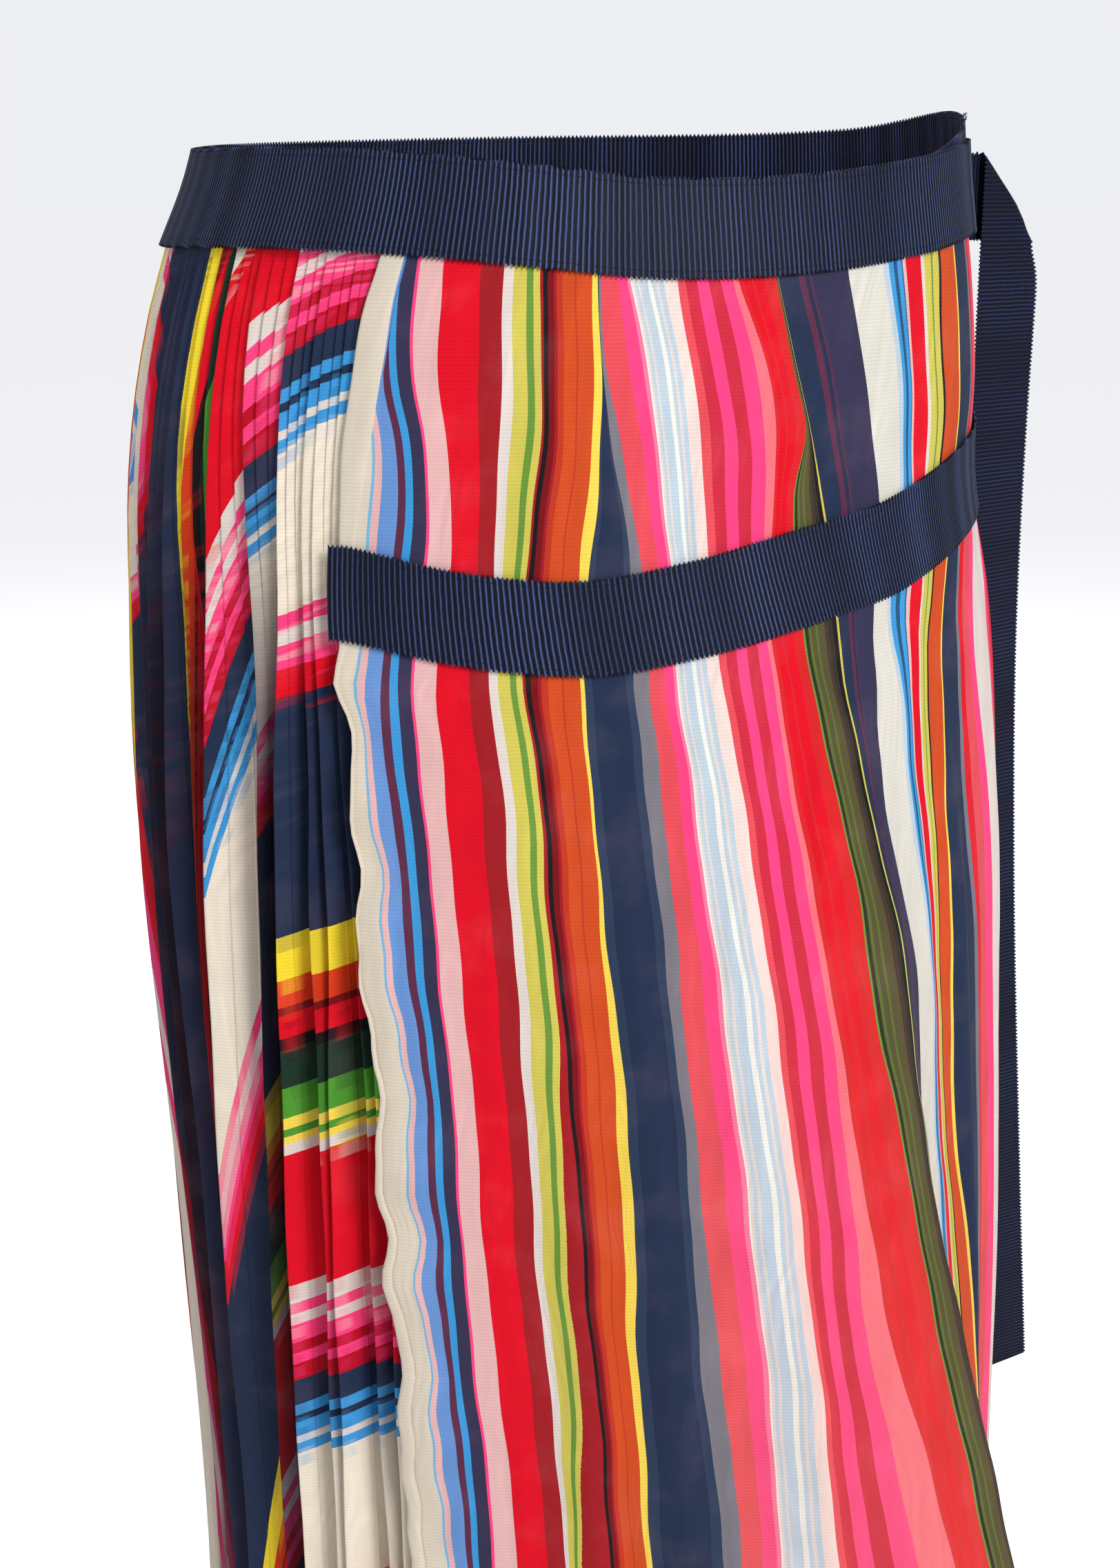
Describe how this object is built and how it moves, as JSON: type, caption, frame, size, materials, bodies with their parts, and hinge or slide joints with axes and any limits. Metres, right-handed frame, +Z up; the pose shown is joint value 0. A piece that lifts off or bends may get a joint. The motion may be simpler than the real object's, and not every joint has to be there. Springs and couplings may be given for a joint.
{
  "type": "pleated skirt",
  "caption": "Long striped wrap skirt, worn: pleated chiffon under a smooth front overlay, with a ribbed ribbon waistband, a hip band and a hanging ribbon tie.",
  "frame": {"origin": "middle of the waistband's height, at the centre of the waist, where the wearer holds the skirt", "axes": "+Z up along the wearer's body, -Y to the wearer's front, +X to the wearer's left"},
  "size_m": [0.4331, 0.3471, 0.9684],
  "materials": {
    "ribbon": "ribbed navy grosgrain, soft sheen",
    "overlay_chiffon": "printed multicolour stripes on fine chiffon, matte with a soft sheen",
    "pleated_chiffon": "printed multicolour stripes on fine pleated chiffon",
    "plated_wire": "bright plated wire"
  },
  "bodies": {
    "root": {"waistband": "ribbon", "hip_band": "ribbon", "tie": "ribbon", "front_overlay": "overlay_chiffon", "pleated_right": "pleated_chiffon", "pleated_left": "pleated_chiffon", "wire_eye": "plated_wire"}
  },
  "joints": []
}
